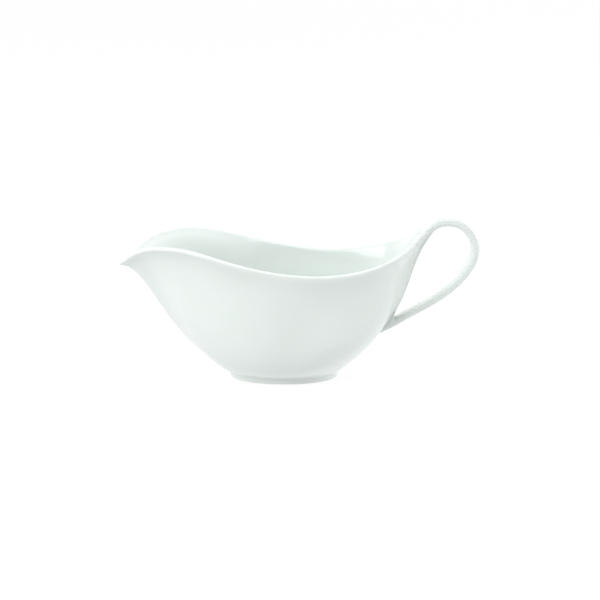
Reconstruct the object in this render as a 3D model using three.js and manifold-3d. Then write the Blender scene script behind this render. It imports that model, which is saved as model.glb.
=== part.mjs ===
// Gravy boat: a porcelain sauce boat with a beaked spout and a strap handle that grows out of its rim.
//
// Millimetres, +Z up. The boat stands on z = 0, the spout points to -X and the handle to +X, and the
// plane y = 0 is its plane of symmetry. Three pieces of clay are stuck together with slip before they
// are fired: the cast bowl, the handle, and the ring that the bowl stands on. JOINT_GAP is the slip.
import * as THREE from 'three';
import { mergeVertices } from 'three/addons/utils/BufferGeometryUtils.js';
import Module from 'manifold-3d';

const wasm = await Module();
wasm.setup();

// ---- driving dimensions -------------------------------------------------------------------------

const JOINT_GAP = 0.3;

// The foot is an oval, a little squarer than an ellipse, and sits forward of the middle.
const FOOT_CENTRE_X = -10.6;
const FOOT_LENGTH = 72.8;
const FOOT_WIDTH = 52.4;
const FOOT_SQUARENESS = 2.15;
const FOOT_HEIGHT = { sides: 4.3, ends: 3.3 }; // where the bowl meets the foot
const FOOT_SIDE = [[0.3, 0.7], [0.4, 0.38], [0.65, 0.12]]; // inset, share of the foot's height
const FOOT_FACE = [1.5, 4.9]; // insets of the face that stands on the table
const FOOT_BEVEL = [5.7, 0.5]; // inset and height of the face's eased inner edge
const FOOT_RING_WIDTH = 7;
const FOOT_INNER_GAP = 0.48; // under the bowl at the ring's inner edge
const BOTTOM_INSET = 7.5; // the bowl's underside is flat further in than this
const FOOT_UNDERCUT = 0.1; // how far the bowl tucks in where it meets the foot
const FLOOR_THICKNESS = 4;
const WALL = 4.0;
const BEAK_WALL = 6.5; // at the tip of the spout
const BEAK_STEP = 3.2; // how much higher the rim's inner edge is than its outer edge at that tip
const NECK_WALL = 5.5; // at the handle end of the rim
const NECK_STEP = 0.6;
const INNER_BASE_INSET = 3; // from the outline of the foot to the foot of the inner wall
const LIP_CROWN = 1.7; // height of the rounded lip above the wall's outer edge

// Outer edge of the rim, from the tip of the spout along one side to the handle: x, half width, z.
const RIM = [
  [-120, 0, 76],
  [-113, 6.2, 81.6],
  [-100, 19.6, 89.4],
  [-80, 33, 92.1],
  [-50, 44.9, 86.6],
  [-22, 48, 80.2],
  [15, 43.2, 75.8],
  [48, 34.4, 79.4],
  [68, 24.4, 87.2],
  [75.5, 17.4, 92.4],
  [81.5, 11.2, 98.2],
  [86, 7.4, 101.6],
  [89.4, 0, 98.9],
];

// Each rib of the wall is one cubic curve from the foot to the rim: the slope and the reach of its two
// ends, at the spout, at the sides and at the handle. Slopes are degrees above the horizontal.
const OUTER_RIB = {
  startSlope: [28.4, 25, 37.5],
  startReach: [53, 21, 69],
  endSlope: [7, 80, 51],
  endReach: [22, 34, 34.4],
};
const INNER_RIB = {
  startSlope: [18, 20, 31],
  startReach: [44, 19, 58],
  endSlope: [7, 80, 55],
  endReach: [20, 32, 31],
};
const SHARPNESS = 1.2; // how quickly the two ends give way to the sides

// The handle's middle line in the plane y = 0, from inside the neck to inside the lower wall: x, z.
const HANDLE_LINE = [
  [84, 98.4],
  [88.4, 103],
  [97.5, 105.5],
  [107.2, 102.9],
  [114.1, 95],
  [116, 86],
  [113, 75.9],
  [103.6, 63.4],
  [89.9, 52.6],
  [76.3, 44.5],
  [65.4, 38.4],
  [54, 31.5],
];
const STRAP_SQUARENESS = 2.7;
const STRAP_HALF_WIDTH = [7, 7, 6.6, 6.2, 6.4, 8.4]; // evenly spaced along the handle
const STRAP_HALF_THICKNESS = [3.4, 3.3, 3.3, 2.8, 2.5, 2.6];
const NECK_PLANE = { x: 91.2, z: 104.2, slope: 32 }; // where bowl and handle meet, slope of its normal
const NECK_BLOCK = 24; // side of the block that parts the strap there

const COLUMNS = 96;
const OUTER_ROWS = 14;
const INNER_ROWS = 12;
const LIP_ROWS = 4;
const END_DENSITY = 0.6; // 0 spaces the ribs evenly, towards 1 crowds them at the spout and the neck
const STRAP_SIDES = 20;
const STRAP_STEPS = 60;
const MERGE_DISTANCE = 1e-5;

const GLAZE = { color: 0xe9eeeb, roughness: 0.15, metalness: 0 };
const BARE_CLAY = { color: 0xe6e4de, roughness: 0.5, metalness: 0 };

// ---- small helpers ------------------------------------------------------------------------------

const radians = THREE.MathUtils.degToRad;

// A closed curve through one side's points and their mirror images.
function mirroredLoop(side) {
  const near = side.map(([x, y, z]) => new THREE.Vector3(x, -y, z));
  const far = side.slice(1, -1).reverse().map(([x, y, z]) => new THREE.Vector3(x, y, z));
  return new THREE.CatmullRomCurve3([...near, ...far], true, 'centripetal');
}

// The same side's points moved inwards in plan by the wall's thickness.
function inset(side, wall, firstWall, lastWall) {
  const last = side.length - 1;
  return side.map(([x, y, z], i) => {
    if (i === 0) return [x + firstWall, 0, z + BEAK_STEP];
    if (i === last) return [x - lastWall, 0, z + NECK_STEP];
    const [ax, ay] = side[i - 1];
    const [bx, by] = side[i + 1];
    const length = Math.hypot(bx - ax, by - ay);
    return [x + ((by - ay) / length) * wall, y - ((bx - ax) / length) * wall, z];
  });
}

// A point of the foot's oval. turn is 0 at the spout, 0.5 at the handle and 1 at the spout again.
function ovalPoint(turn, insetBy, z) {
  const angle = Math.PI + 2 * Math.PI * turn;
  const power = 2 / FOOT_SQUARENESS;
  const along = Math.cos(angle);
  const across = Math.sin(angle);
  return new THREE.Vector3(
    FOOT_CENTRE_X + (FOOT_LENGTH / 2 - insetBy) * Math.sign(along) * Math.abs(along) ** power,
    (FOOT_WIDTH / 2 - insetBy) * Math.sign(across) * Math.abs(across) ** power,
    z,
  );
}

// How high the foot stands at a turn: lower at its two ends, where the wall flares out sooner.
function footHeight(turn) {
  const facing = Math.cos(2 * Math.PI * turn) ** 2;
  return THREE.MathUtils.lerp(FOOT_HEIGHT.sides, FOOT_HEIGHT.ends, facing);
}

// Where column i stands on the loop, from 0 to 1, with more columns at the spout and the neck.
function turnOf(i) {
  const even = i / COLUMNS;
  return even - (END_DENSITY * Math.sin(4 * Math.PI * even)) / (4 * Math.PI);
}

// Mixes the values at the spout, the sides and the handle for a turn round the loop.
function mixEnds([spout, side, handle], turn) {
  const facing = Math.cos(2 * Math.PI * turn);
  const weight = Math.abs(facing) ** SHARPNESS;
  return side + ((facing > 0 ? spout : handle) - side) * weight;
}

// One rib of the wall: a cubic curve that leaves the base outwards and reaches the rim.
function ribCurve(base, top, turn, rib) {
  const outward = new THREE.Vector3(top.x - base.x, top.y - base.y, 0).normalize();
  const towards = (slope) => {
    const angle = radians(slope);
    return outward.clone().multiplyScalar(Math.cos(angle)).setZ(Math.sin(angle));
  };
  const start = towards(mixEnds(rib.startSlope, turn)).multiplyScalar(mixEnds(rib.startReach, turn));
  const end = towards(mixEnds(rib.endSlope, turn)).multiplyScalar(mixEnds(rib.endReach, turn));
  return new THREE.CubicBezierCurve3(base, base.clone().add(start), top.clone().sub(end), top);
}

// Joins rings of points, bottom to top, into a closed skin. Both end rings close on their middle.
function skin(rings) {
  const columns = rings[0].length;
  const points = rings.flat();
  const triangles = [];
  for (let r = 0; r + 1 < rings.length; r += 1) {
    for (let i = 0; i < columns; i += 1) {
      const next = (i + 1) % columns;
      const a = r * columns + i;
      const b = r * columns + next;
      triangles.push(a, b, b + columns, a, b + columns, a + columns);
    }
  }
  const cap = (ring, first, flip) => {
    const middle = points.length;
    const sum = ring.reduce((total, p) => total.add(p), new THREE.Vector3());
    points.push(sum.divideScalar(columns));
    for (let i = 0; i < columns; i += 1) {
      const a = first + i;
      const b = first + ((i + 1) % columns);
      triangles.push(...(flip ? [b, a, middle] : [a, b, middle]));
    }
  };
  cap(rings[0], 0, true);
  cap(rings.at(-1), (rings.length - 1) * columns, false);
  return { points, triangles };
}

function geometryOf({ points, triangles }) {
  const geometry = new THREE.BufferGeometry().setFromPoints(points);
  geometry.setIndex(triangles);
  return geometry;
}

// three.js geometry to a solid that can be joined and cut, and back again.
function solidOf(geometry) {
  const plain = geometry.clone();
  plain.deleteAttribute('normal');
  plain.deleteAttribute('uv');
  const merged = mergeVertices(plain, MERGE_DISTANCE);
  return new wasm.Manifold(
    new wasm.Mesh({
      numProp: 3,
      vertProperties: new Float32Array(merged.attributes.position.array),
      triVerts: new Uint32Array(merged.index.array),
    }),
  );
}

function geometryOfSolid(solid) {
  const mesh = solid.getMesh();
  const geometry = new THREE.BufferGeometry();
  geometry.setAttribute('position', new THREE.BufferAttribute(mesh.vertProperties, 3));
  geometry.setIndex(new THREE.BufferAttribute(mesh.triVerts, 1));
  geometry.computeVertexNormals();
  return geometry;
}

// A block that covers the neck on the bowl's side of the neck plane, its face moved outwards by shift.
function behindNeck(shift) {
  const angle = radians(NECK_PLANE.slope);
  const block = new THREE.BoxGeometry(NECK_BLOCK, NECK_BLOCK, NECK_BLOCK);
  block.rotateY(-angle);
  const reach = shift - NECK_BLOCK / 2;
  block.translate(NECK_PLANE.x + Math.cos(angle) * reach, 0, NECK_PLANE.z + Math.sin(angle) * reach);
  return solidOf(block);
}

// ---- bowl ---------------------------------------------------------------------------------------

const outerRim = mirroredLoop(RIM);
const innerRim = mirroredLoop(inset(RIM, WALL, BEAK_WALL, NECK_WALL));

// Rings of the outer wall, bottom to top, made bigger all round by grow.
function outerRings(grow) {
  const rings = Array.from({ length: OUTER_ROWS + 1 }, () => []);
  for (let i = 0; i < COLUMNS; i += 1) {
    const turn = turnOf(i);
    const base = ovalPoint(turn, FOOT_UNDERCUT, footHeight(turn));
    const rib = ribCurve(base, outerRim.getPointAt(turn), turn, OUTER_RIB);
    const outward = new THREE.Vector3(-Math.cos(2 * Math.PI * turn), -Math.sin(2 * Math.PI * turn), 0);
    rings.forEach((ring, r) => {
      const point = rib.getPoint(r / OUTER_ROWS);
      ring.push(point.addScaledVector(outward, grow));
    });
  }
  return rings;
}

function innerRings() {
  const rings = Array.from({ length: INNER_ROWS + 1 }, () => []);
  for (let i = 0; i < COLUMNS; i += 1) {
    const turn = turnOf(i);
    const base = ovalPoint(turn, INNER_BASE_INSET, FOOT_HEIGHT.sides + FLOOR_THICKNESS);
    const rib = ribCurve(base, innerRim.getPointAt(turn), turn, INNER_RIB);
    rings.forEach((ring, r) => ring.push(rib.getPoint(r / INNER_ROWS)));
  }
  return rings;
}

// The rounded lip: half an ellipse over the top of the wall, from the outer edge to the inner one.
function lipRings(outerEdge, innerEdge) {
  const rings = [];
  for (let r = 1; r < LIP_ROWS; r += 1) {
    const angle = (Math.PI * r) / LIP_ROWS;
    const across = (1 - Math.cos(angle)) / 2;
    rings.push(
      outerEdge.map((point, i) => {
        const crown = point.clone().lerp(innerEdge[i], across);
        crown.z += LIP_CROWN * Math.sin(angle);
        return crown;
      }),
    );
  }
  return rings;
}

function cupSkin() {
  const bottom = Array.from({ length: COLUMNS }, (_, i) =>
    ovalPoint(turnOf(i), BOTTOM_INSET, FOOT_HEIGHT.sides),
  );
  const outer = outerRings(0);
  const inner = innerRings().reverse();
  return skin([bottom, ...outer, ...lipRings(outer.at(-1), inner[0]), ...inner]);
}

// ---- handle -------------------------------------------------------------------------------------

// A value from an evenly spaced list, eased between its entries.
function along(list, share) {
  const place = share * (list.length - 1);
  const first = Math.min(Math.floor(place), list.length - 2);
  const eased = THREE.MathUtils.smoothstep(place - first, 0, 1);
  return THREE.MathUtils.lerp(list[first], list[first + 1], eased);
}

function strapSkin() {
  const line = new THREE.CatmullRomCurve3(
    HANDLE_LINE.map(([x, z]) => new THREE.Vector3(x, 0, z)),
    false,
    'centripetal',
  );
  const power = 2 / STRAP_SQUARENESS;
  const rings = [];
  for (let step = 0; step <= STRAP_STEPS; step += 1) {
    const share = step / STRAP_STEPS;
    const centre = line.getPointAt(share);
    const ahead = line.getTangentAt(share);
    const outward = new THREE.Vector3(-ahead.z, 0, ahead.x);
    const halfWidth = along(STRAP_HALF_WIDTH, share);
    const halfThickness = along(STRAP_HALF_THICKNESS, share);
    const ring = [];
    for (let side = 0; side < STRAP_SIDES; side += 1) {
      const angle = (2 * Math.PI * side) / STRAP_SIDES;
      const across = Math.sign(Math.cos(angle)) * Math.abs(Math.cos(angle)) ** power;
      const up = Math.sign(Math.sin(angle)) * Math.abs(Math.sin(angle)) ** power;
      const point = centre.clone().addScaledVector(outward, up * halfThickness);
      point.y += across * halfWidth;
      ring.push(point);
    }
    rings.push(ring);
  }
  return skin(rings);
}

// ---- foot ring ----------------------------------------------------------------------------------

// The ring's section at a turn: how far in from the foot's outline, and the height.
function footSection(turn) {
  const top = footHeight(turn);
  return [
    [FOOT_UNDERCUT, top - JOINT_GAP],
    ...FOOT_SIDE.map(([insetBy, share]) => [insetBy, top * share]),
    ...FOOT_FACE.map((insetBy) => [insetBy, 0]),
    FOOT_BEVEL,
    [FOOT_RING_WIDTH, FOOT_HEIGHT.sides - FOOT_INNER_GAP],
  ];
}

function footGeometry() {
  const points = [];
  const triangles = [];
  const corners = footSection(0).length;
  for (let i = 0; i < COLUMNS; i += 1) {
    const turn = turnOf(i);
    footSection(turn).forEach(([insetBy, z]) => points.push(ovalPoint(turn, insetBy, z)));
    const next = (i + 1) % COLUMNS;
    for (let c = 0; c < corners; c += 1) {
      const d = (c + 1) % corners;
      const [a, b] = [i * corners + c, i * corners + d];
      const [e, f] = [next * corners + c, next * corners + d];
      triangles.push(a, f, e, a, b, f);
    }
  }
  return geometryOf({ points, triangles });
}

// ---- the three pieces ---------------------------------------------------------------------------

const cup = solidOf(geometryOf(cupSkin()));
const strap = solidOf(geometryOf(strapSkin()));
const grownCup = solidOf(geometryOf(skin(outerRings(JOINT_GAP))));

const bowlSolid = cup.add(strap.intersect(behindNeck(0)));
const handleSolid = strap.subtract(behindNeck(JOINT_GAP)).subtract(grownCup);

function piece(name, geometry, look) {
  const mesh = new THREE.Mesh(geometry, new THREE.MeshStandardMaterial(look));
  mesh.name = name;
  return mesh;
}

const gravyBoat = new THREE.Group();
gravyBoat.add(piece('bowl', geometryOfSolid(bowlSolid), GLAZE));
gravyBoat.add(piece('handle', geometryOfSolid(handleSolid), GLAZE));
gravyBoat.add(piece('foot_ring', footGeometry(), BARE_CLAY));

export default gravyBoat;
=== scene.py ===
"""A white porcelain gravy boat: its glazed surface, the light round it and the camera.

The shape is one smooth skin. A coarse net of four-sided faces is laid over the boat, from the hollow
under the foot, round the foot ring, up the outer wall, over the lip, down the inner wall to the floor.
The handle's net grows out of the neck and joins the outer wall again, so the surface runs on without a
break. The net is subdivided, and the result is parted into the bowl, the handle and the foot ring.

The boat's lengths are millimetres until place() turns them into Blender's metres. The materials, the
studio and the camera are in metres.
"""

import math

import bmesh
import bpy
import numpy as np
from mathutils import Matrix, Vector


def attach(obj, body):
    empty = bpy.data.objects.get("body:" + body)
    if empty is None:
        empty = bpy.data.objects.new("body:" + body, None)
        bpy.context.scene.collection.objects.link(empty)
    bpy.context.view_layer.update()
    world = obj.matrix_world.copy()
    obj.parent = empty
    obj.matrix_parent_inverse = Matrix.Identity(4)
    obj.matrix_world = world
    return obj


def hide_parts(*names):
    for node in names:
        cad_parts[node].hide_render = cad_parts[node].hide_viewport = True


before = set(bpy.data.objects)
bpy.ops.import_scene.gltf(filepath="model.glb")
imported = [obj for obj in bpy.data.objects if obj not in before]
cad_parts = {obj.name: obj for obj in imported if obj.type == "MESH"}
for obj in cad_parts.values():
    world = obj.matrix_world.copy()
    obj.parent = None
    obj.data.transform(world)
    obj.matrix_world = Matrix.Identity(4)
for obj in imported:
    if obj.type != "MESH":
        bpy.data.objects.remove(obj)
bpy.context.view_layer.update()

MM = 0.001

# ---- driving dimensions -------------------------------------------------------------------------

FOOT_CENTRE_X = -10.6
FOOT_LENGTH = 72.8
FOOT_WIDTH = 52.4
FOOT_SQUARENESS = 2.15
FOOT_HEIGHT_SIDES = 4.3
FOOT_HEIGHT_ENDS = 3.3
FOOT_UNDERCUT = 0.1
# Section of the foot, outside to middle: inset, and height as a share of the foot's. Then the section
# of its contact face and of the hollow under the bowl: inset and height.
FOOT_SIDE = ((0.3, 0.7), (0.4, 0.38), (0.65, 0.12))
FOOT_HOLLOW = ((1.5, 0.06), (4.9, 0.06), (5.7, 0.5), (6.3, 1.9), (7.1, 4.0), (8.6, 4.6))

FLOOR_HEIGHT = 8.3  # of the bowl's inside
INNER_BASE_INSET = 3.0  # from the foot's outline to the foot of the inner wall
WALL = 4.0
BEAK_WALL = 6.0  # at the tip of the spout
BEAK_STEP = 3.2  # how much higher the rim's inner edge is than its outer edge at that tip
LIP_CROWN = 1.7

# Outer edge of the rim from the tip of the spout to the neck: x, half width, z.
RIM = [
    (-120.0, 0.0, 76.0),
    (-113.0, 6.2, 81.6),
    (-100.0, 19.6, 89.4),
    (-80.0, 33.0, 92.1),
    (-50.0, 44.9, 86.6),
    (-22.0, 48.0, 80.2),
    (15.0, 43.2, 75.8),
    (48.0, 34.4, 79.4),
    (68.0, 24.4, 87.2),
    (75.5, 17.4, 92.4),
    (81.5, 11.2, 98.2),
]

# One rib of the wall, at the spout, at the sides and at the handle: slopes in degrees, reaches in mm.
OUTER_RIB = {
    "start_slope": (28.4, 25, 37.6),
    "start_reach": (53, 21, 70.6),
    "end_slope": (7, 80, 49.6),
    "end_reach": (22, 34, 35.6),
}
INNER_RIB = {
    "start_slope": (18, 20, 31),
    "start_reach": (44, 19, 59),
    "end_slope": (7, 80, 53),
    "end_reach": (20, 32, 31),
}
SHARPNESS = 1.2  # how quickly the two ends give way to the sides

# The handle's middle line, from the neck to the lower wall: x, z.
HANDLE_LINE = [
    (84.0, 98.4),
    (88.4, 103.0),
    (97.5, 105.5),
    (107.2, 102.9),
    (114.1, 95.0),
    (116.0, 86.0),
    (113.0, 75.9),
    (103.6, 63.4),
    (89.9, 52.6),
    (76.3, 44.5),
    (65.4, 38.4),
    (54.0, 31.5),
]
STRAP_SQUARENESS = 2.7
STRAP_HALF_WIDTH = (7.0, 7.0, 6.6, 6.2, 6.4, 7.6)
STRAP_HALF_THICKNESS = (3.4, 3.3, 3.3, 2.8, 2.5, 2.6)
NECK_SHARE = 0.034  # share of the middle line's length that lies inside the neck
ROOT_SHARE = 0.915  # share at which the strap opens out into the wall

# How sharp the surface turns: 0 is as round as the net allows and 1 is a knife edge.
ROOT_TOP_CREASE = 0.6
ROOT_SIDE_CREASE = 0.4
FOOT_CREASE = 0.5

# The net. Where its columns meet the rim, as shares of the way from the beak to the neck, and how many
# columns there are on each half of the strap's inner face.
RIM_STATIONS = (0, 0.028, 0.062, 0.105, 0.165, 0.245, 0.335, 0.43, 0.53, 0.63, 0.725, 0.81, 0.885,
                0.945, 1)
STRAP_COLUMNS = 3
# Where its rows lie on the ribs, as shares of the way up the outer wall and then down the inner one.
OUTER_ROWS = (0, 0.03, 0.085, 0.15, 0.22, 0.30, 0.385, 0.43, 0.51, 0.6, 0.71, 0.82, 0.92, 1)
ROOT_ROWS = (4, 6)  # the handle joins the wall between these outer rows
INNER_ROWS = (1, 0.92, 0.81, 0.68, 0.54, 0.4, 0.26, 0.13, 0)
MIDDLE_RINGS = (0.7, 0.4, 0.15)  # on the floor and the hollow's ceiling, as shares of their outlines
STRAP_RINGS = 20
# Round half the strap, in degrees, from the middle of its inner face past its edge at 0 to the middle
# of its outer face: where it leaves the neck, and where it joins the wall.
NECK_ANGLES = (-90, -62, -34, 0, 34, 56, 68, 79, 90)
ROOT_ANGLES = (-90, -69, -50, -30, 0, 30, 50, 69, 90)
NECK_OUTER, NECK_CROWN, NECK_INNER = 3, 4, 5  # places in the neck's ring where the lip's edges end
SUBDIVISIONS = 3
FITTING_ROUNDS = 5


# ---- curves -------------------------------------------------------------------------------------

CURVE_SAMPLES = 2001  # for measuring a curve's length
RIM_SAMPLES = 400
TANGENT_STEP = 0.002  # to each side of a place on the handle's line, as a share of its length


def smooth_curve(points):
    """A natural cubic spline through the points; returns a function of the share of its length."""
    points = np.array(points, float)
    knots = np.concatenate([[0], np.cumsum(np.linalg.norm(np.diff(points, axis=0), axis=1))])
    steps = np.diff(knots)
    count = len(points)
    system = np.eye(count)
    right = np.zeros_like(points)
    slopes = np.diff(points, axis=0) / steps[:, None]
    for i in range(1, count - 1):
        system[i, i - 1:i + 2] = steps[i - 1], 2 * (steps[i - 1] + steps[i]), steps[i]
        right[i] = 6 * (slopes[i] - slopes[i - 1])
    bends = np.linalg.solve(system, right)

    def at_knot(value):
        value = np.atleast_1d(value)
        i = np.clip(np.searchsorted(knots, value, side="right") - 1, 0, count - 2)
        before = (value - knots[i])[:, None]
        after = (knots[i + 1] - value)[:, None]
        step = steps[i][:, None]
        return (
            (bends[i] * after ** 3 + bends[i + 1] * before ** 3) / (6 * step)
            + (points[i] / step - bends[i] * step / 6) * after
            + (points[i + 1] / step - bends[i + 1] * step / 6) * before
        )

    fine = np.linspace(0, knots[-1], CURVE_SAMPLES)
    trace = at_knot(fine)
    lengths = np.concatenate([[0], np.cumsum(np.linalg.norm(np.diff(trace, axis=0), axis=1))])

    def at_share(share):
        return at_knot(np.interp(np.asarray(share) * lengths[-1], lengths, fine))

    return at_share


def half_loop(side):
    """The curve of one side's points, bent at the beak as it is when the other side goes on from it."""
    near = [(x, -y, z) for x, y, z in side]
    far = [(x, y, z) for x, y, z in side[:0:-1]]
    whole = smooth_curve(far + near)
    return lambda share: whole(0.5 + 0.5 * np.asarray(share))


def eased(values, share):
    """A value from an evenly spaced list, eased between its entries."""
    place = min(max(share, 0.0), 1.0) * (len(values) - 1)
    first = min(int(place), len(values) - 2)
    part = place - first
    part = part * part * (3 - 2 * part)
    return values[first] * (1 - part) + values[first + 1] * part


def oval_point(turn, inset, z):
    """A point of the foot's oval; turn is 0 at the spout and 0.5 at the handle."""
    angle = math.pi + 2 * math.pi * turn
    power = 2 / FOOT_SQUARENESS
    along, across = math.cos(angle), math.sin(angle)
    return np.array([
        FOOT_CENTRE_X + (FOOT_LENGTH / 2 - inset) * math.copysign(abs(along) ** power, along),
        (FOOT_WIDTH / 2 - inset) * math.copysign(abs(across) ** power, across),
        z,
    ])


def foot_height(turn):
    """How high the foot stands: lower at its two ends, where the wall flares out sooner."""
    facing = math.cos(2 * math.pi * turn) ** 2
    return FOOT_HEIGHT_SIDES + (FOOT_HEIGHT_ENDS - FOOT_HEIGHT_SIDES) * facing


def mix_ends(values, turn):
    """Mixes the values at the spout, the sides and the handle."""
    facing = math.cos(2 * math.pi * turn)
    weight = abs(facing) ** SHARPNESS
    spout, side, handle = values
    return side + ((spout if facing > 0 else handle) - side) * weight


def rib_point(base, top, turn, rib, t):
    """A point of the cubic rib from base to top, t of the way along."""
    outward = np.array([top[0] - base[0], top[1] - base[1], 0.0])
    outward /= np.linalg.norm(outward)

    def reach(end):
        slope = math.radians(mix_ends(rib[end + "_slope"], turn))
        direction = outward * math.cos(slope) + np.array([0, 0, math.sin(slope)])
        return direction * mix_ends(rib[end + "_reach"], turn)

    first, second = base + reach("start"), top - reach("end")
    s = 1 - t
    return s ** 3 * base + 3 * s * s * t * first + 3 * s * t * t * second + t ** 3 * top


# ---- the strap ----------------------------------------------------------------------------------

handle_line = smooth_curve([(x, 0, z) for x, z in HANDLE_LINE])


def strap_ring(share):
    """Nine points from the middle of the strap's inner face, round its near edge, to the outer face."""
    centre = handle_line(share)[0]
    ahead = handle_line(min(share + TANGENT_STEP, 1))[0] - handle_line(max(share - TANGENT_STEP, 0))[0]
    ahead /= np.linalg.norm(ahead)
    outward = np.array([-ahead[2], 0, ahead[0]])
    power = 2 / STRAP_SQUARENESS
    ring = []
    for at_neck, at_root in zip(NECK_ANGLES, ROOT_ANGLES):
        angle = math.radians(at_neck + (at_root - at_neck) * share)
        across = abs(math.cos(angle)) ** power * eased(STRAP_HALF_WIDTH, share)
        up = math.copysign(abs(math.sin(angle)) ** power, angle) * eased(STRAP_HALF_THICKNESS, share)
        point = centre + outward * up
        point[1] = -across
        ring.append(point)
    return ring


neck_ring = strap_ring(NECK_SHARE)


# ---- the rim's three edges ----------------------------------------------------------------------

def inset_rim():
    """The rim's inner edge: its outer edge moved inwards in plan by the wall's thickness."""
    neck_x, neck_y, _ = neck_ring[NECK_OUTER]
    edge = []
    for i, (x, y, z) in enumerate(RIM):
        if i == 0:
            edge.append((x + BEAK_WALL, 0, z + BEAK_STEP))
            continue
        ahead = RIM[i + 1] if i + 1 < len(RIM) else (neck_x, -neck_y)
        dx, dy = ahead[0] - RIM[i - 1][0], ahead[1] - RIM[i - 1][1]
        length = math.hypot(dx, dy)
        edge.append((x + dy / length * WALL, y - dx / length * WALL, z))
    return edge


def with_neck(edge, place):
    """An edge of the rim carried on to its place in the neck's ring."""
    x, y, z = neck_ring[place]
    return edge + [(x, -y, z)]


rim_inner = inset_rim()
rim_crown = [
    tuple((a + b) / 2 + up for a, b, up in zip(outer, inner, (0, 0, LIP_CROWN)))
    for outer, inner in zip(RIM, rim_inner)
]
outer_edge = half_loop(with_neck(list(RIM), NECK_OUTER))
crown_edge = half_loop(with_neck(rim_crown, NECK_CROWN))
inner_edge = half_loop(with_neck(rim_inner, NECK_INNER))


# ---- the net ------------------------------------------------------------------------------------

BOWL, HANDLE, FOOT = 0, 1, 2
PIECE_NAMES = {BOWL: "porcelain_bowl", HANDLE: "porcelain_handle", FOOT: "porcelain_foot_ring"}


class Net:
    """Points and four-sided faces, each face marked with the piece that it belongs to."""

    def __init__(self):
        self.points = []
        self.faces = []
        self.pieces = []
        self.creases = {}

    def add(self, point):
        self.points.append(np.array(point, float))
        return len(self.points) - 1

    def face(self, corners, piece):
        self.faces.append(tuple(corners))
        self.pieces.append(piece)

    def ring(self, half):
        """Adds a closed ring from one half's points, the first and last of which lie on y = 0."""
        near = [self.add(p) for p in half]
        far = [self.add((p[0], -p[1], p[2])) for p in half[-2:0:-1]]
        return near + far

    def join(self, below, above, piece, skip=()):
        count = len(below)
        for i in range(count):
            if i not in skip:
                j = (i + 1) % count
                self.face((below[i], below[j], above[j], above[i]), piece)

    def crease(self, line, sharpness):
        for a, b in zip(line, line[1:]):
            self.creases[min(a, b), max(a, b)] = sharpness

    def close(self, ring, middle, piece):
        pole = self.add(middle)
        count = len(ring)
        for i in range(count):
            self.face((ring[i], ring[(i + 1) % count], pole), piece)


def column_turns():
    """Each column's place round the boat: 0 at the beak, 0.5 in the middle of the handle's side."""
    trace = outer_edge(np.linspace(0, 1, RIM_SAMPLES))
    rim_length = np.linalg.norm(np.diff(trace, axis=0), axis=1).sum()
    strap = np.array(neck_ring[NECK_OUTER::-1])
    strap_steps = np.cumsum(np.linalg.norm(np.diff(strap, axis=0), axis=1))
    total = rim_length + strap_steps[-1]
    turns = [0.5 * share * rim_length / total for share in RIM_STATIONS]
    return turns + [0.5 * (rim_length + step) / total for step in strap_steps]


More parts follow.
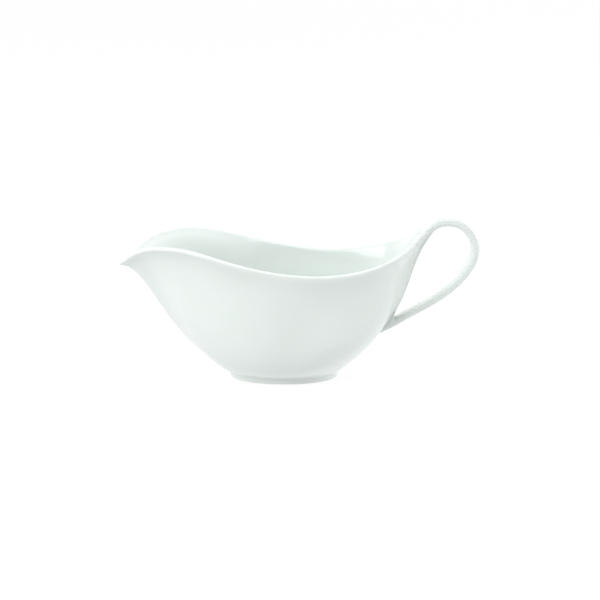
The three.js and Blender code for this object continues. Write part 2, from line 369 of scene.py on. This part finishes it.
def build_net():
    net = Net()
    turns = column_turns()
    shares = np.array(RIM_STATIONS[:-1])
    outer_top = list(outer_edge(shares)) + neck_ring[NECK_OUTER::-1]
    inner_top = list(inner_edge(shares)) + neck_ring[NECK_INNER:]
    crown_top = list(crown_edge(shares))
    for edge in (outer_top, inner_top, crown_top):
        edge[0][1] = 0.0

    # Under the boat, from the middle outwards, and up round the foot.
    foot_rings = [[oval_point(turn, inset, z) for turn in turns] for inset, z in FOOT_HOLLOW[::-1]]
    for inset, share in FOOT_SIDE[::-1]:
        foot_rings.append([oval_point(turn, inset, foot_height(turn) * share) for turn in turns])
    ceiling = foot_rings[0]
    middle = np.array([FOOT_CENTRE_X, 0, ceiling[0][2]])
    hollow = [[middle + (p - middle) * share for p in ceiling] for share in MIDDLE_RINGS[::-1]]
    for half in hollow + foot_rings:
        half[0][1] = half[-1][1] = 0.0
    rings = [net.ring(half) for half in hollow + foot_rings]
    net.close(rings[0][::-1], middle, BOWL)
    first_foot = len(hollow) + 1
    for i in range(len(rings) - 1):
        net.join(rings[i], rings[i + 1], FOOT if i >= first_foot else BOWL)

    # The outer wall, left open where the handle joins it.
    base = [oval_point(turn, FOOT_UNDERCUT, foot_height(turn)) for turn in turns]
    outer_rings = []
    for t in OUTER_ROWS:
        half = [rib_point(b, top, turn, OUTER_RIB, t) for b, top, turn in zip(base, outer_top, turns)]
        half[0][1] = half[-1][1] = 0.0
        outer_rings.append(net.ring(half))
    net.join(rings[-1], outer_rings[0], FOOT)
    last = len(turns) - 1
    root_columns = range(last - STRAP_COLUMNS, last + STRAP_COLUMNS)
    for r in range(len(outer_rings) - 1):
        open_here = root_columns if ROOT_ROWS[0] <= r < ROOT_ROWS[1] else ()
        net.join(outer_rings[r], outer_rings[r + 1], BOWL, skip=open_here)

    # The lip. It is a ring as far as the neck, where its two ends run into the strap's edges.
    ends = last - STRAP_COLUMNS
    crown_near = [net.add(p) for p in crown_top]
    crown_far = [crown_near[0]] + [net.add((p[0], -p[1], p[2])) for p in crown_top[1:]]
    side_near = net.add(neck_ring[NECK_CROWN])
    side_far = net.add(neck_ring[NECK_CROWN] * np.array([1, -1, 1]))
    crown_near.append(side_near)
    crown_far.append(side_far)
    inner_rings = []
    base = [oval_point(turn, INNER_BASE_INSET, FLOOR_HEIGHT) for turn in turns]
    for t in INNER_ROWS:
        half = [rib_point(b, top, turn, INNER_RIB, t) for b, top, turn in zip(base, inner_top, turns)]
        half[0][1] = half[-1][1] = 0.0
        inner_rings.append(net.ring(half))
    around = len(outer_rings[-1])
    outer, inner = outer_rings[-1], inner_rings[0]
    for i in range(ends):
        j = i + 1
        net.face((outer[i], outer[j], crown_near[j], crown_near[i]), BOWL)
        net.face((crown_near[i], crown_near[j], inner[j], inner[i]), BOWL)
        a, b = -i % around, -j % around
        net.face((outer[b], outer[a], crown_far[i], crown_far[j]), BOWL)
        net.face((crown_far[j], crown_far[i], inner[a], inner[b]), BOWL)

    # The inner wall and the floor.
    for r in range(len(inner_rings) - 1):
        net.join(inner_rings[r], inner_rings[r + 1], BOWL)
    floor = [net.points[i] for i in inner_rings[-1][:last + 1]]
    middle = np.array([FOOT_CENTRE_X, 0, FLOOR_HEIGHT])
    previous = inner_rings[-1]
    for share in MIDDLE_RINGS:
        ring = net.ring([middle + (p - middle) * share for p in floor])
        net.join(previous, ring, BOWL)
        previous = ring
    net.close(previous, middle, BOWL)

    # The handle, from the neck to the opening in the outer wall.
    def strap_order(rows, near_side, far_side):
        """One ring of the strap: inner face, near edge, outer face, far edge."""
        low, high = rows
        near = range(last, last - STRAP_COLUMNS - 1, -1)
        far = range(last + STRAP_COLUMNS, last, -1)
        return (
            [low[i] for i in near] + [near_side]
            + [high[i] for i in reversed(near)]
            + [high[i] for i in reversed(far)] + [far_side]
            + [low[i] for i in far]
        )

    previous = strap_order((outer, inner), side_near, side_far)
    for step in range(1, STRAP_RINGS + 1):
        share = NECK_SHARE + (ROOT_SHARE - NECK_SHARE) * step / STRAP_RINGS
        ring = net.ring(strap_ring(share))
        net.join(previous, ring, HANDLE)
        previous = ring
    bottom_row, side_row, top_row = outer_rings[ROOT_ROWS[0]:ROOT_ROWS[1] + 1]
    root = strap_order(
        (top_row, bottom_row), side_row[last - STRAP_COLUMNS], side_row[last + STRAP_COLUMNS]
    )
    net.join(previous, root, HANDLE)
    net.crease(root[-STRAP_COLUMNS:] + root[:STRAP_COLUMNS + 1], ROOT_TOP_CREASE)
    net.crease(root[STRAP_COLUMNS:STRAP_COLUMNS + 3], ROOT_SIDE_CREASE)
    net.crease(root[-STRAP_COLUMNS - 2:-STRAP_COLUMNS + 1], ROOT_SIDE_CREASE)
    net.crease(outer_rings[0] + outer_rings[0][:1], FOOT_CREASE)
    return net


# ---- from the net to the three pieces -----------------------------------------------------------

def subdivided(net, points, levels):
    """The net's surface after subdivision, as a mesh whose first points are the net's own."""
    mesh = bpy.data.meshes.new("net")
    mesh.from_pydata([tuple(p) for p in points], [], net.faces)
    mesh.polygons.foreach_set("material_index", net.pieces)
    sharpness = mesh.attributes.new("crease_edge", "FLOAT", "EDGE")
    for edge in mesh.edges:
        sharpness.data[edge.index].value = net.creases.get(tuple(sorted(edge.vertices)), 0.0)
    for _ in PIECE_NAMES:
        mesh.materials.append(None)
    holder = bpy.data.objects.new("net", mesh)
    bpy.context.scene.collection.objects.link(holder)
    modifier = holder.modifiers.new("subdivision", "SUBSURF")
    modifier.levels = modifier.render_levels = levels
    modifier.use_limit_surface = True
    graph = bpy.context.evaluated_depsgraph_get()
    result = bpy.data.meshes.new_from_object(holder.evaluated_get(graph))
    bpy.data.objects.remove(holder)
    bpy.data.meshes.remove(mesh)
    return result


def coordinates(mesh):
    values = np.zeros(len(mesh.vertices) * 3)
    mesh.vertices.foreach_get("co", values)
    return values.reshape(-1, 3)


def fitted_points(net, rounds):
    """Moves the net's points until its smooth surface passes through the places first given to them."""
    wanted = np.array(net.points)
    points = wanted.copy()
    for _ in range(rounds):
        mesh = subdivided(net, points, 1)
        points += wanted - coordinates(mesh)[:len(wanted)]
        bpy.data.meshes.remove(mesh)
    return points


def cut_piece(whole, normals, piece, name):
    """Takes one piece's faces out of the whole skin, closes its cuts and keeps the skin's own shading.

    The lowest two cuts of the bowl and of the foot lie one inside the other round the foot's top, so a
    band joins them. Every other cut is closed by a fan.
    """
    work = bmesh.new()
    work.from_mesh(whole)
    source = work.verts.layers.int.new("source")
    for vertex in work.verts:
        vertex[source] = vertex.index
    others = [face for face in work.faces if face.material_index != piece]
    bmesh.ops.delete(work, geom=others, context="FACES")
    open_edges = [edge for edge in work.edges if edge.is_boundary]
    loops = boundary_loops(open_edges)
    caps = []
    if piece == FOOT or len(loops) > 2:
        pair = sorted(loops, key=lambda loop: loop[0].co.z)[:2]
        caps += bridge(work, pair)
        loops = [loop for loop in loops if loop not in pair]
    for loop in loops:
        caps += fan(work, loop)
    for face in work.faces:
        face.material_index = 0
        face.smooth = True
    for face in caps:
        face.smooth = False
    bmesh.ops.recalc_face_normals(work, faces=work.faces)
    work.faces.index_update()
    cap_faces = {face.index for face in caps}
    work.verts.index_update()
    sources = [vertex[source] for vertex in work.verts]
    mesh = bpy.data.meshes.new(name)
    work.to_mesh(mesh)
    work.free()
    mesh.materials.clear()
    shading = []
    for polygon in mesh.polygons:
        for loop_index in polygon.loop_indices:
            vertex = mesh.loops[loop_index].vertex_index
            if polygon.index in cap_faces:
                shading.append(tuple(polygon.normal))
            else:
                shading.append(tuple(normals[sources[vertex]]))
    mesh.normals_split_custom_set(shading)
    return place(mesh, name)


def boundary_loops(edges):
    """Sorts open edges into closed loops of vertices."""
    following = {}
    for edge in edges:
        loop = edge.link_loops[0]
        following[loop.vert] = loop.link_loop_next.vert
    loops = []
    while following:
        start, vertex = following.popitem()
        loop = [start]
        while vertex is not start:
            loop.append(vertex)
            vertex = following.pop(vertex)
        loops.append(loop)
    return loops


def fan(work, loop):
    """Closes a loop with triangles that meet in its middle."""
    middle = sum((vertex.co for vertex in loop), Vector()) / len(loop)
    pole = work.verts.new(middle)
    return [
        work.faces.new((loop[(i + 1) % len(loop)], loop[i], pole)) for i in range(len(loop))
    ]


def bridge(work, pair):
    """Closes the space between two matching loops with a band of faces."""
    first, second = pair
    nearest = min(range(len(second)), key=lambda k: (second[k].co - first[0].co).length)
    count = len(first)
    faces = []
    for i in range(count):
        a, b = first[i], first[(i + 1) % count]
        d, c = second[(nearest - i) % count], second[(nearest - i - 1) % count]
        faces.append(work.faces.new((b, a, d, c)))
    return faces


def place(mesh, name):
    """Turns a mesh in millimetres into an object in metres."""
    piece = bpy.data.objects.new(name, mesh)
    for vertex in mesh.vertices:
        vertex.co *= MM
    bpy.context.scene.collection.objects.link(piece)
    return piece


def make_pieces():
    """Builds the whole skin and parts it; returns the three objects."""
    net = build_net()
    points = fitted_points(net, FITTING_ROUNDS)
    whole = subdivided(net, points, SUBDIVISIONS)
    work = bmesh.new()
    work.from_mesh(whole)
    bmesh.ops.recalc_face_normals(work, faces=work.faces)
    work.to_mesh(whole)
    work.free()
    normals = np.zeros(len(whole.vertices) * 3)
    whole.vertices.foreach_get("normal", normals)
    normals = normals.reshape(-1, 3)
    pieces = {piece: cut_piece(whole, normals, piece, name) for piece, name in PIECE_NAMES.items()}
    bpy.data.meshes.remove(whole)
    return pieces


# ---- materials ----------------------------------------------------------------------------------

# Noise scales are patterns to the metre, and depths and heights are metres.
GLAZE_THIN = (0.702, 0.757, 0.731, 1)
GLAZE_THICK = (0.72, 0.771, 0.747, 1)
CLOUDS_SCALE = 28.0
CLOUDS_RANGE = (0.35, 0.65)  # the part of the noise over which thin glaze turns into thick
RIPPLE_SCALE = 260.0
RIPPLE_STRENGTH = 0.015
RIPPLE_DEPTH = 0.0004
GLAZE_ROUGHNESS = (0.10, 0.17)
GLAZE_IOR = 1.52
CLAY_DARK = (0.74, 0.72, 0.68, 1)
CLAY_LIGHT = (0.82, 0.80, 0.76, 1)
CLAY_GRAIN_SCALE = 900.0
CLAY_ROUGHNESS = (0.55, 0.65)
BARE_BELOW = 0.6 * MM  # the foot has no glaze below this height
BARE_FADE = 0.6  # share of that height at which the clay starts to give way to glaze


def node(tree, kind, **sockets):
    """A new node with values for its input sockets, whose names have _ for a space."""
    made = tree.nodes.new(kind)
    for name, value in sockets.items():
        made.inputs[name.replace("_", " ")].default_value = value
    return made


def glaze_material(name, bare_below=None):
    """Clear gloss glaze over white porcelain. Below the height bare_below the clay has no glaze."""
    material = bpy.data.materials.new(name)
    material.use_nodes = True
    tree = material.node_tree
    shader = tree.nodes["Principled BSDF"]
    place_node = tree.nodes.new("ShaderNodeNewGeometry")

    # Faint clouds in the colour, where the glaze lies thicker or thinner over the body.
    clouds = node(tree, "ShaderNodeTexNoise", Scale=CLOUDS_SCALE, Detail=3.0, Roughness=0.55)
    tree.links.new(place_node.outputs["Position"], clouds.inputs["Vector"])
    tint = tree.nodes.new("ShaderNodeValToRGB")
    thin, thick = tint.color_ramp.elements
    thin.position, thick.position = CLOUDS_RANGE
    thin.color, thick.color = GLAZE_THIN, GLAZE_THICK
    tree.links.new(clouds.outputs["Fac"], tint.inputs["Fac"])

    # Fine waviness of a fired glaze, and a gloss that is not quite even.
    ripple = node(tree, "ShaderNodeTexNoise", Scale=RIPPLE_SCALE, Detail=2.0, Roughness=0.5)
    tree.links.new(place_node.outputs["Position"], ripple.inputs["Vector"])
    bump = node(tree, "ShaderNodeBump", Strength=RIPPLE_STRENGTH, Distance=RIPPLE_DEPTH)
    tree.links.new(ripple.outputs["Fac"], bump.inputs["Height"])
    tree.links.new(bump.outputs["Normal"], shader.inputs["Normal"])
    gloss = tree.nodes.new("ShaderNodeMapRange")
    gloss.inputs["To Min"].default_value, gloss.inputs["To Max"].default_value = GLAZE_ROUGHNESS
    tree.links.new(clouds.outputs["Fac"], gloss.inputs["Value"])

    colour, roughness = tint.outputs["Color"], gloss.outputs["Result"]
    if bare_below is not None:
        colour, roughness = bare_contact(tree, place_node, colour, roughness, bare_below)
    tree.links.new(colour, shader.inputs["Base Color"])
    tree.links.new(roughness, shader.inputs["Roughness"])
    shader.inputs["IOR"].default_value = GLAZE_IOR
    return material


def bare_contact(tree, place_node, colour, roughness, height):
    """Swaps the glaze for bare clay below a height; returns the mixed colour and roughness."""
    split = tree.nodes.new("ShaderNodeSeparateXYZ")
    tree.links.new(place_node.outputs["Position"], split.inputs["Vector"])
    edge = tree.nodes.new("ShaderNodeMapRange")
    edge.inputs["From Min"].default_value = height * BARE_FADE
    edge.inputs["From Max"].default_value = height
    tree.links.new(split.outputs["Z"], edge.inputs["Value"])
    grain = node(tree, "ShaderNodeTexNoise", Scale=CLAY_GRAIN_SCALE, Detail=4.0, Roughness=0.6)
    tree.links.new(place_node.outputs["Position"], grain.inputs["Vector"])
    clay = tree.nodes.new("ShaderNodeValToRGB")
    clay.color_ramp.elements[0].color = CLAY_DARK
    clay.color_ramp.elements[1].color = CLAY_LIGHT
    tree.links.new(grain.outputs["Fac"], clay.inputs["Fac"])
    paint = tree.nodes.new("ShaderNodeMix")
    paint.data_type = "RGBA"
    tree.links.new(edge.outputs["Result"], paint.inputs["Factor"])
    tree.links.new(clay.outputs["Color"], paint.inputs["A"])
    tree.links.new(colour, paint.inputs["B"])
    rough = tree.nodes.new("ShaderNodeMapRange")
    rough.inputs["To Min"].default_value, rough.inputs["To Max"].default_value = CLAY_ROUGHNESS
    tree.links.new(grain.outputs["Fac"], rough.inputs["Value"])
    dull = tree.nodes.new("ShaderNodeMix")
    tree.links.new(edge.outputs["Result"], dull.inputs["Factor"])
    tree.links.new(rough.outputs["Result"], dull.inputs["A"])
    tree.links.new(roughness, dull.inputs["B"])
    return paint.outputs["Result"], dull.outputs["Result"]


# ---- studio -------------------------------------------------------------------------------------

FLOOR_SIZE = 6
FLOOR_DARK = (0.14, 0.14, 0.14, 1)
FLOOR_LIGHT = (0.16, 0.16, 0.16, 1)
FLOOR_MOTTLE_SCALE = 3.0
FLOOR_ROUGHNESS = 0.9
FLOOR_GLOW = 0.855  # the sheet is a light table: it glows from below
BACKDROP_LIGHT = 1.38
# The sky's light as a share of the backdrop's, by how far a direction points to the back (-1 to 1).
SKY = ((-0.97, 0.0), (-0.4, 0.6), (0.1, 0.6), (0.7, 1.0))
# Name, place, size and watts of each softbox; all of them face the boat.
SOFTBOXES = (
    ("front_light", (0.0, -0.72, 1.07), (1.0, 0.7), 5.0),
    ("left_light", (-0.95, -0.6, 0.75), (0.8, 0.7), 7.8),
    ("right_light", (1.2, 0.1, 0.37), (0.7, 0.7), 5.0),
)
CAMERA_DISTANCE = 1.5
CAMERA_ELEVATION = 14.3  # degrees
TARGET_HEIGHT = 0.0514
FRAME_WIDTH = 0.4  # width of the view at the boat
SENSOR_WIDTH = 36  # millimetres, as the lens is
CLIP_END = 20


def look_at(thing, target):
    thing.rotation_euler = (Vector(target) - thing.location).to_track_quat("-Z", "Y").to_euler()


def floor():
    """The pale sheet that the boat stands on."""
    bpy.ops.mesh.primitive_plane_add(size=FLOOR_SIZE, location=(0, 0, 0))
    sheet = bpy.context.object
    sheet.name = "studio_floor"
    material = bpy.data.materials.new("studio_floor")
    material.use_nodes = True
    tree = material.node_tree
    shader = tree.nodes["Principled BSDF"]
    speckle = node(tree, "ShaderNodeTexNoise", Scale=FLOOR_MOTTLE_SCALE, Detail=2.0)
    tone = tree.nodes.new("ShaderNodeValToRGB")
    tone.color_ramp.elements[0].color = FLOOR_DARK
    tone.color_ramp.elements[1].color = FLOOR_LIGHT
    tree.links.new(speckle.outputs["Fac"], tone.inputs["Fac"])
    tree.links.new(tone.outputs["Color"], shader.inputs["Base Color"])
    shader.inputs["Roughness"].default_value = FLOOR_ROUGHNESS
    shader.inputs["Specular IOR Level"].default_value = 0.0
    shader.inputs["Emission Color"].default_value = (1, 1, 1, 1)
    shader.inputs["Emission Strength"].default_value = FLOOR_GLOW
    sheet.data.materials.append(material)


def softbox(name, place_at, size, power):
    light = bpy.data.lights.new(name, "AREA")
    light.shape = "RECTANGLE"
    light.size, light.size_y = size
    light.energy = power
    box = bpy.data.objects.new(name, light)
    box.location = place_at
    look_at(box, (0, 0, TARGET_HEIGHT))
    bpy.context.scene.collection.objects.link(box)


def sky(tree, background):
    """Dark in front, pale overhead and brightest behind the boat, which whitens its edges."""
    direction = tree.nodes.new("ShaderNodeTexCoord")
    split = tree.nodes.new("ShaderNodeSeparateXYZ")
    tree.links.new(direction.outputs["Generated"], split.inputs["Vector"])
    place_in_ramp = tree.nodes.new("ShaderNodeMapRange")
    place_in_ramp.inputs["From Min"].default_value = -1
    tree.links.new(split.outputs["Y"], place_in_ramp.inputs["Value"])
    shade = tree.nodes.new("ShaderNodeValToRGB")
    ramp = shade.color_ramp
    ramp.interpolation = "EASE"
    while len(ramp.elements) < len(SKY):
        ramp.elements.new(1)
    for stop, (towards_back, light) in zip(ramp.elements, SKY):
        stop.position = (towards_back + 1) / 2
        stop.color = (light, light, light, 1)
    tree.links.new(place_in_ramp.outputs["Result"], shade.inputs["Fac"])
    tree.links.new(shade.outputs["Color"], background.inputs["Color"])
    background.inputs["Strength"].default_value = BACKDROP_LIGHT


def studio():
    world = bpy.data.worlds.new("studio")
    bpy.context.scene.world = world
    world.use_nodes = True
    sky(world.node_tree, world.node_tree.nodes["Background"])
    floor()
    for box in SOFTBOXES:
        softbox(*box)


def camera():
    data = bpy.data.cameras.new("camera")
    data.sensor_width = SENSOR_WIDTH
    data.lens = SENSOR_WIDTH * CAMERA_DISTANCE / FRAME_WIDTH
    data.clip_end = CLIP_END
    view = bpy.data.objects.new("camera", data)
    angle = math.radians(CAMERA_ELEVATION)
    target = Vector((0, 0, TARGET_HEIGHT))
    view.location = target + CAMERA_DISTANCE * Vector((0, -math.cos(angle), math.sin(angle)))
    look_at(view, target)
    bpy.context.scene.collection.objects.link(view)
    bpy.context.scene.camera = view


# ---- the scene ----------------------------------------------------------------------------------

pieces = make_pieces()
glaze = glaze_material("glaze")
foot_glaze = glaze_material("foot_glaze", BARE_BELOW)
for piece, cad_node, slot, material in (
    (BOWL, "bowl", "glaze", glaze),
    (HANDLE, "handle", "glaze", glaze),
    (FOOT, "foot_ring", "bare_clay", foot_glaze),
):
    shape = pieces[piece]
    shape.data.materials.append(material)
    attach(shape, "root")
    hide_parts(cad_node)

studio()
camera()
bpy.context.scene.view_settings.view_transform = "Standard"
